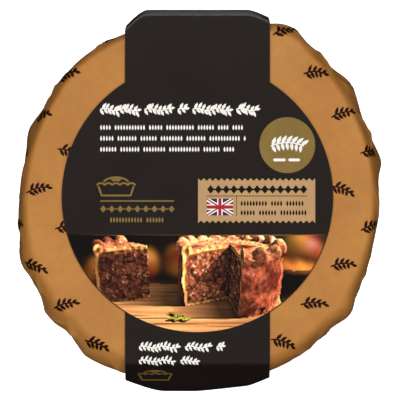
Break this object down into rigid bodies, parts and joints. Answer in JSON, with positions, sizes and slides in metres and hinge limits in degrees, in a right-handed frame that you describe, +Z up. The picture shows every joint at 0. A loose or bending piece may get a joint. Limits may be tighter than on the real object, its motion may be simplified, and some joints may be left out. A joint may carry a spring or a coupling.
{
  "type": "wrapped raised pie in a card sleeve",
  "caption": "Round raised pie wrapped in printed paper, held in a black card sleeve that runs over the top and under the base, with a round panel on top.",
  "frame": {"origin": "on the table, under the middle of the pack's outline", "axes": "+Z up out of the round panel, -Y towards the front end of the sleeve (the foot of its print), +X to the right of the print"},
  "size_m": [0.1142, 0.1208, 0.058],
  "materials": {
    "printed_paper": "tan printed greaseproof paper, matt with a slight sheen",
    "black_card": "black printed folding board with a silk laminate"
  },
  "bodies": {
    "root": {"wrapped_pie": "printed_paper", "card_sleeve": "black_card"}
  },
  "joints": []
}
